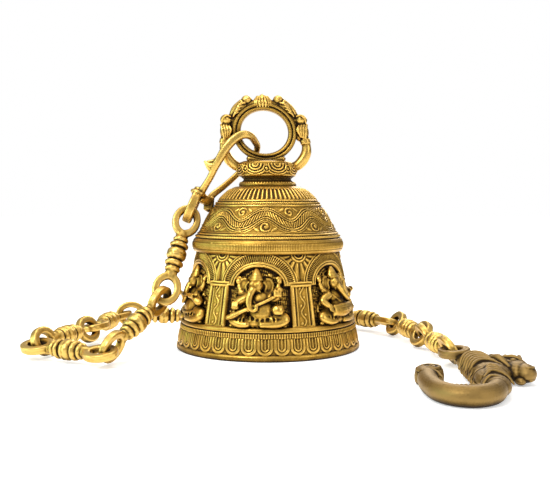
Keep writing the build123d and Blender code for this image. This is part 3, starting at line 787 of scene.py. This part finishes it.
def crown_animals():
    clay = Clay()
    # saddle between the pot and the ring, and a band round the ring's upper half that the birds sit on
    clay.bar([(-15, 0, 160), (0, 0, 158.6), (15, 0, 160)], (3.6, 3.6, 3.6), flat=1.5, up=(0, 0, 1))
    arc = [(27.6 * math.cos(a), 0, 182.4 + 25.2 * math.sin(a)) for a in np.linspace(0.12, math.pi - 0.12, 15)]
    clay.bar(arc, (1.6, 2.2, 2.6, 2.9, 3, 3, 2.9, 2.8, 2.9, 3, 3, 2.9, 2.6, 2.2, 1.6), count=80)
    clay.copies = PAIR
    # arm from the pot, swelling and narrowing like a stem
    clay.bar([(18, 0, 152), (25.5, 0, 153.8), (31, 0, 158.6), (34.4, 0, 165), (34.8, 0, 171.5), (33.4, 0, 178.5)],
             (3.8, 4.2, 4.5, 4.3, 3.8, 3.6), sides=18)
    clay.bar([(34.6, 0, 172.6), (33.8, 0, 176)], 4.5)
    # bird on the arm: breast, folded wing, head bent down against the ring
    clay.blob((32.2, 0, 183.4), (5.4, 4.8, 8.6), ("Y", -8))
    clay.blob((31.6, 0, 192.6), (5.3, 4.6, 4.9))
    clay.bar([(29.5, 0, 192.8), (26.6, 0, 192), (24.6, 0, 189.4)], (3.2, 2.6, 1.8))
    clay.blob((29, 0, 181), (3.6, 4, 6.5))
    # crouching bird on the ring's shoulder
    clay.blob((18.6, 0, 203), (7.4, 4.8, 5.6), ("Y", 42))
    clay.blob((13.4, 0, 209.2), (4.6, 3.9, 4.2))
    clay.bar([(16.2, 0, 206.6), (23, 0, 200.8), (27.6, 0, 193.6)], (4.4, 4.2, 2.6))
    clay.bar([(10.8, 0, 208.6), (8.6, 0, 206.6)], (2, 1.2))
    # eyes, brows and feathers of both birds, front and back
    clay.copies = FOUR
    clay.blob((30.6, 4, 193.8), (1.1, 0.8, 1.1), detail=10)
    clay.thin([(27.6, 3.4, 195.2), (31, 4.4, 196.2), (34.6, 3.4, 193.6), (35.4, 2.8, 189.6)], (0.7, 0.9, 0.9, 0.6))
    clay.blob((12.6, 3.5, 210.2), (1, 0.8, 1), detail=10)
    for k in range(4):
        clay.thin([(36.4 - 2.3 * k, 2.6 + 0.5 * k, 188.8 - 0.4 * k), (35 - 2.3 * k, 4.4 + 0.3 * k, 183.6),
                   (34.4 - 1.3 * k, 3.9, 176.4 + 0.4 * k)], (0.9, 1.3, 0.7))
        clay.thin([(14.4 + 1.9 * k, 3.8, 206.8 - 2.6 * k), (18.8 + 1.6 * k, 4.9, 205.6 - 2.6 * k),
                   (23.2 + 0.8 * k, 3.8, 202 - 2.4 * k)], (0.7, 1.1, 0.6))
    clay.thin([(9.6, 3.2, 203.8), (14.5, 4.2, 201.2), (19.5, 4, 197)], (0.8, 1.1, 0.7))
    clay.copies = ONCE
    # lotus bud: ribs side by side
    clay.blob((0, 0, 207), (6.9, 5.2, 6.8))
    clay.copies = FRONT_AND_BACK
    for k in range(-4, 5):
        a = k * 0.34
        x, y = math.sin(a), math.cos(a * 0.8)
        clay.thin([(6.4 * x, 4 * math.cos(a * 0.7), 201.6), (7.7 * x, 5.3 * y, 207), (4.4 * x, 2.8 * y, 212.6)],
                  (0.7, 1.05, 0.7))
    clay.copies = ONCE
    clay.bar([(0, -4, 210.5), (0, 0, 213.2), (0, 4, 210.5)], (1.2, 1.4, 1.2))
    points, faces = clay.fuse("crown", 0.5, 1)
    obj = mesh_object("crown_birds", leaned(points), faces, crown_brass, wear(points, faces))
    dress(obj, "bell", "crown")


crown_animals()


# ---------------- shackle
def shackle():
    clay = Clay()
    front = [(-56.4, -2.6, 132), (-52.4, -6.6, 137.8), (-48.2, -10.4, 144.2), (-45, -12.8, 150.4), (-42, -14, 156),
             (-38.6, -14.4, 162), (-34.4, -14.4, 168.6), (-29, -13.8, 174.6), (-23, -12.8, 178.6),
             (-18, -10.6, 179.4),
             (-14, -6, 178), (-11.2, 1, 174.8), (-9.2, 8.5, 170.2), (-12, 15, 162.5), (-20, 20.5, 154.5),
             (-29, 21, 145.4), (-39, 16, 136.4), (-48, 9, 128.8), (-51, 6, 122)]
    clay.bar(front, (3.8, 3.4, 3.3, 3.5, 3.9, 4.2, 4.4, 4.4, 4.2, 3.9, 3.6, 3.4, 3.2, 3.1, 3, 3, 3.1, 3.4, 3.8),
             count=180, sides=18,
             flat=0.86, up=(0, 1, 0), square=0.6)
    # leaf spur below the knee
    clay.bar([(-43, -13.4, 155), (-47.6, -13.8, 153.8), (-53, -13.4, 157.4)], (3.4, 2.6, 0.8))
    clay.bar([(-45.4, -12.6, 149.6), (-49, -13.2, 152), (-53.2, -13.2, 157.4)], (2.8, 2.3, 0.7))
    clay.bar([(-41, -14, 160.4), (-44.6, -14, 157.8), (-50, -13.6, 157.2)], (2.2, 1.6, 0.9))
    # block where the back leg meets the collar
    clay.bar([(-50.4, 6.4, 127.4), (-51, 5.6, 116.6)], 4.4, flat=0.9, square=0.6)
    clay.bar([(-50.8, 5, 124), (-58, -1, 127)], 4.2, flat=0.9, square=0.6)
    # flanged collar and the small eye below it
    end = np.array([-68.5, -4.7, 108.7])
    collar = np.array([-59, -2, 131])
    along = (end - collar) / np.linalg.norm(end - collar)
    across = np.array([0, 1, 0]) - along * along[1]
    across /= np.linalg.norm(across)
    normal = np.cross(along, across)
    middle = end - along * 11.375
    frame_at = np.eye(4)
    frame_at[:3, :3] = np.stack([across, normal, -along], 1)
    frame_at[:3, 3] = middle - along * 12.6
    clay.turned([(0, -1.6), (6, -1.6), (7, -0.4), (6.8, 1.2), (5.4, 2.2), (0, 2.2)], frame_at)
    clay.turned([(0, -3.8), (4.6, -3.8), (4.8, 4.4), (0, 6)], frame_at)
    clay.eye(middle, 2.1, 2.8, 3.7, along, across)
    clay.bar([middle - along * 12.4, np.array(front[-1]) + np.array([0, 0, 0.5])], (4.4, 3.6))
    points, faces = clay.fuse("shackle", 0.56, 1)
    dress(cast_object("shackle_cast", points, faces, chain_brass, 1.5), "shackle", "shackle")


shackle()


# ---------------- chain links, all alike
def link_mesh():
    clay = Clay()
    half = [(0, 0), (8, 0), (8.3, 1), (8.2, 2.3), (7.4, 3.7), (6.2, 4.7), (4.8, 5.4), (4.8, 5.9), (7.3, 6.4),
            (7.9, 7.2), (7.8, 8.7),
            (6.9, 9.9), (5.3, 10.6), (4.6, 11.2), (4.7, 11.6), (6.2, 12.1), (6.6, 13.2), (6.2, 14.4), (5, 15.2),
            (4.2, 16),
            (3.8, 18.6), (0, 18.8)]
    outline = [(r, -h) for r, h in half[::-1][:-1]] + half[1:]
    turn = np.array([[0, 0, 1, 0], [1, 0, 0, 0], [0, 1, 0, 0], [0, 0, 0, 1]], float)
    clay.turned(outline, turn, 44)
    clay.copies = PAIR
    clay.eye((31, 0, 0), 2.2, 2.2, 3, (1, 0, 0), (0, 1, 0), 84)
    clay.bar([(16.5, 0, 0), (21.5, 0, 0)], (4.4, 3.2), flat=1.25, up=(0, 0, 1))
    points, faces = clay.fuse("link", 0.78, 0)
    # slight unevenness of sand casting
    bumps = np.sin(points[:, 0] * 0.9 + points[:, 1] * 1.3) * np.sin(points[:, 2] * 1.1 + points[:, 0] * 0.37)
    return points + 0.12 * bumps[:, None] * points / np.linalg.norm(points, axis=1)[:, None], faces


def unit(heading, rise):
    flat = math.cos(math.radians(rise))
    return Vector((flat * math.cos(math.radians(heading)), flat * math.sin(math.radians(heading)),
                   math.sin(math.radians(rise))))


def lying(heading, rise, roll):
    """Along, across and normal of a piece that lies at this heading, rise and roll."""
    along = unit(heading, rise)
    level = Vector((math.sin(math.radians(heading)), -math.cos(math.radians(heading)), 0))
    upward = level.cross(along)
    across = level * math.cos(math.radians(roll)) + upward * math.sin(math.radians(roll))
    return along, across, along.cross(across)


LIES = [(241, -62, 36), (237, -28, -72), (152, 0.4, 14), (69, 0.5, -68), (81, 0.8, 10), (9, -3.4, -80), (40, -1.3, 6),
        (340, 0, -84),
        (308, -0.2, 18), (281, 0, -57), (276, 0, 60)]
link_points, link_faces = link_mesh()
link_wear = wear(link_points, link_faces, 1.5)
for index, lie in enumerate(LIES, start=1):
    node = f"chain_link_{index:02d}"
    low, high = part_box(node)
    middle = (low + high) / 2 / MM
    axes = np.array([list(v) for v in lying(*lie)])
    placed = link_points @ axes + np.array(middle)
    obj = mesh_object(f"link_{index:02d}", placed, link_faces, chain_brass, link_wear)
    dress(obj, node, node)


# ---------------- ceiling hook, lying flat
def hook():
    clay = Clay()
    # round limb, bend and curled tip
    clay.bar([(146, -190, 6.4), (142.6, -200, 6.7), (136.4, -211, 6.8), (125, -217.8, 6.8), (114, -215, 6.8),
              (106.6, -205, 6.8), (104.2, -191, 6.7), (104.4, -177, 6.6), (106.2, -165, 6.6)],
             (5.4, 6.8, 7, 6.9, 6.8, 6.8, 6.8, 6.9, 7.2), count=90, sides=26)
    clay.turned([(0, 0.3), (8.6, 0.3), (9.9, 2.6), (10.1, 6.4), (9.4, 10.4), (7.6, 12.6), (0, 12.8)],
                upright(109, -154.5, 0, 0.95), 44)
    spiral = []
    for t in np.linspace(0, 1.55 * TAU, 26):
        radius = 8.2 - 0.62 * t
        spiral.append((109 + radius * math.cos(t - 2.2), -154.5 + 0.95 * radius * math.sin(t - 2.2), 12.5))
    clay.bar(spiral, 1.15, count=90, sides=10)
    for t in np.linspace(0, 0.75, 5):
        clay.thin([(99.4 + t, -162 + 2.6 * t * 5, 11), (103.8, -167 + 2.2 * t * 5, 13),
                   (109.5, -166 + 1.4 * t * 5, 12)], 0.7)
    clay.bar([(113.5, -176, 9.5), (110.5, -168, 12.3), (103, -163.5, 12.2)], 0.9)
    # shank swelling to the shoulder
    clay.blob((144.6, -190, 7), (9.8, 16, 7), ("Z", -8))
    clay.blob((147, -172, 7.2), (12, 17, 7.3), ("Z", -8))
    clay.blob((150.5, -152, 7.3), (14.5, 17, 7.5), ("Z", -6))
    clay.blob((149.5, -132, 7.3), (12.4, 16, 7.2))
    # beads along the inside of the bend
    for k in range(11):
        clay.blob((112 + 2.7 * k, -211.6 - 1.2 * math.sin(k * 0.314), 12.6), (1.3, 1.6, 1.1), detail=10)
    # ribs of the mane, curved round the neck
    for k in range(6):
        y0 = -150 + 5.8 * k
        clay.bar([(136, y0 - 5, 4.6), (139, y0 - 1.5, 12.6), (145, y0 + 3, 15.2), (152, y0 + 2, 15.4),
                  (158.6, y0 - 3.4, 13.4)], (1.4, 1.5, 1.5, 1.4, 0.8), count=28, sides=10)
    for k in range(6):
        y0 = -172 + 7.4 * k
        clay.bar([(143, y0 + 4, 6.4), (137.6, y0 + 1, 5.6), (133.8 + 0.3 * k, y0 - 3, 4.2)], (4, 3, 1.2))
        clay.thin([(144, y0 + 5, 11.8), (139, y0 + 2.4, 10.2), (135.4 + 0.3 * k, y0 - 1.4, 7)], (1.6, 1.4, 0.7))
    # leaf reliefs on the shank
    for k, reach in enumerate((0, 6, 12, 18)):
        clay.bar([(138.5 + 0.3 * reach, -184 + reach, 11.6), (145 + 0.2 * reach, -178 + reach, 14.4),
                  (153 + 0.1 * reach, -181.5 + reach, 12.2), (157 + 0.1 * reach, -187.5 + 1.3 * reach, 7.4)],
                  (1, 1.5, 1.4, 0.8),
                 count=28, sides=10)
    clay.bar([(134.6, -196, 9.6), (141, -191, 13.4), (148.6, -193.5, 11.4), (151.5, -199, 6.6)], (0.9, 1.5, 1.4, 0.7),
             count=28)
    # head: skull, crest, ear, brow, open snout
    clay.blob((166, -132, 7.4), (13, 16.5, 7.6), ("Z", -16))
    clay.blob((171.5, -146, 7.4), (10, 15.5, 7.2), ("Z", -10))
    clay.blob((174.4, -154.5, 7.8), (7.4, 11, 6.4), ("Z", -6))
    clay.blob((170, -156.5, 3.6), (4.2, 9.5, 3.4), ("Z", -8))
    for k in range(6):
        clay.bar([(151.5 + 5.2 * k, -117.6 - 0.6 * k - 0.3 * k * k, 8), (154 + 4.6 * k, -124 - 1.2 * k, 14.2),
                  (155 + 4.2 * k, -132 - 1.4 * k, 14.6)], (1.2, 1.6, 0.9), count=22, sides=10)
    clay.bar([(154.5, -134, 13.6), (159, -142, 15.2), (163.5, -153, 11.8)], (1.8, 3.4, 1.2), count=22)
    clay.thin([(157, -136, 15.6), (160.4, -143, 16), (163.4, -150, 13.4)], 0.6)
    clay.bar([(164.5, -133, 14.6), (171.5, -137, 15.2), (177, -144, 12.6)], (1.5, 2, 1.1), count=22)
    clay.blob((169.6, -141.6, 14), (2.4, 2.4, 1.7), detail=16)
    clay.ringlet((169.6, -141.6, 13.8), (3.7, 3.4), 0.7, 30)
    for k in range(5):
        clay.thin([(168.5 + 1.8 * k, -148 - 2.4 * k, 13.8 - 0.3 * k),
                   (175.5 + 1.2 * k, -146 - 2.4 * k, 12.6 - 0.3 * k)], 0.6)
    clay.ringlet((176, -159.6, 13.2), (2.4, 2.2), 0.7, 24)
    clay.thin([(180.4, -150, 4.8), (179.4, -158, 4.4), (175, -164.4, 4.2)], 0.9)
    # neck up to the eye
    clay.bar([(147.5, -121, 7), (143, -112, 6.8), (140.6, -106.5, 8)], (6.6, 5.4, 3.6), flat=1.1)
    along, across, _ = lying(270, 0, -6)
    clay.eye((138.71, -96.94, 11.75), 2.1, 2.1, 3, along, across)
    points, faces = clay.fuse("hook", 0.66, 1)
    points[:, 2] = np.maximum(points[:, 2], 0.02 + 0.02 * np.sin(points[:, 0]))
    dress(cast_object("hook_cast", points, faces, hook_brass, 2.4), "ceiling_hook", "ceiling_hook")


hook()

for node, material in (("clapper_rod", clapper_iron), ("clapper_ball", clapper_iron), ("clapper_ring", fixing_steel),
                       ("clapper_eyebolt", fixing_steel), ("crown_washer", fixing_steel),
                       ("crown_nut", fixing_steel)):
    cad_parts[node].data.materials.clear()
    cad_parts[node].data.materials.append(material)

# ---------------- floor, light and camera
floor_mat, _, floor_shader = new_material("pale_floor")
floor_shader.inputs["Base Color"].default_value = (0.93, 0.93, 0.92, 1)
floor_shader.inputs["Roughness"].default_value = 0.9
floor_shader.inputs["Emission Color"].default_value = (1.0, 1.0, 1.0, 1)
floor_shader.inputs["Emission Strength"].default_value = 0.42
floor_mesh = bpy.data.meshes.new("floor")
floor_mesh.from_pydata([(-6, -6, 0), (6, -6, 0), (6, 6, 0), (-6, 6, 0)], [], [(0, 1, 2, 3)])
floor = bpy.data.objects.new("floor", floor_mesh)
bpy.context.scene.collection.objects.link(floor)
floor.data.materials.append(floor_mat)

scene = bpy.context.scene
scene.view_settings.view_transform = "Standard"
world = bpy.data.worlds.new("studio")
scene.world = world
world.use_nodes = True
sky = world.node_tree
background = sky.nodes["Background"]
paths = sky.nodes.new("ShaderNodeLightPath")
direction = sky.nodes.new("ShaderNodeTexCoord")
split = sky.nodes.new("ShaderNodeSeparateXYZ")
sky.links.new(direction.outputs["Generated"], split.inputs[0])
dome = ramp(sky,
            [(0.0, (0.08, 0.07, 0.06)), (0.50, (0.13, 0.125, 0.12)), (0.64, (0.36, 0.37, 0.38)),
             (0.88, (0.80, 0.80, 0.80))])
lift = math_node(sky, "ADD", math_node(sky, "MULTIPLY", split.outputs["Z"], 0.5), 0.5)
sky.links.new(lift, dome.inputs["Fac"])
choose = sky.nodes.new("ShaderNodeMixRGB")
choose.inputs["Color2"].default_value = (1, 1, 1, 1)
sky.links.new(paths.outputs["Is Camera Ray"], choose.inputs["Fac"])
sky.links.new(dome.outputs["Color"], choose.inputs["Color1"])
sky.links.new(choose.outputs["Color"], background.inputs["Color"])
background.inputs["Strength"].default_value = 1.0


def soft_light(name, place, aim, size, power, colour=(1, 1, 1)):
    data = bpy.data.lights.new(name, "AREA")
    data.shape = "RECTANGLE"
    data.size, data.size_y = size
    data.energy = power
    data.color = colour
    lamp = bpy.data.objects.new(name, data)
    lamp.location = place
    lamp.rotation_euler = (Vector(aim) - Vector(place)).to_track_quat("-Z", "Y").to_euler()
    scene.collection.objects.link(lamp)


soft_light("key", (-0.55, -0.75, 0.85), (0, 0, 0.09), (0.40, 0.40), 8.0)
soft_light("fill", (0.85, -0.65, 0.45), (0, 0, 0.08), (0.45, 0.45), 2.2, (1.0, 0.97, 0.92))
soft_light("cool", (-0.9, -0.25, 0.25), (0, 0, 0.08), (0.25, 0.5), 2.4, (0.62, 1.0, 0.95))
soft_light("top", (0.0, 0.1, 1.1), (0, 0, 0.1), (0.8, 0.4), 4.2)
soft_light("back", (0.3, 0.9, 0.6), (0, 0, 0.08), (0.6, 0.35), 3.6)

camera_data = bpy.data.cameras.new("camera")
camera_data.sensor_width = 36.0
camera_data.lens = 54.6
camera = bpy.data.objects.new("camera", camera_data)
camera.location = (0.0, -0.712, 0.124)
camera.rotation_euler = (math.radians(90 - 3.35), 0, math.radians(-0.48))
scene.collection.objects.link(camera)
scene.camera = camera
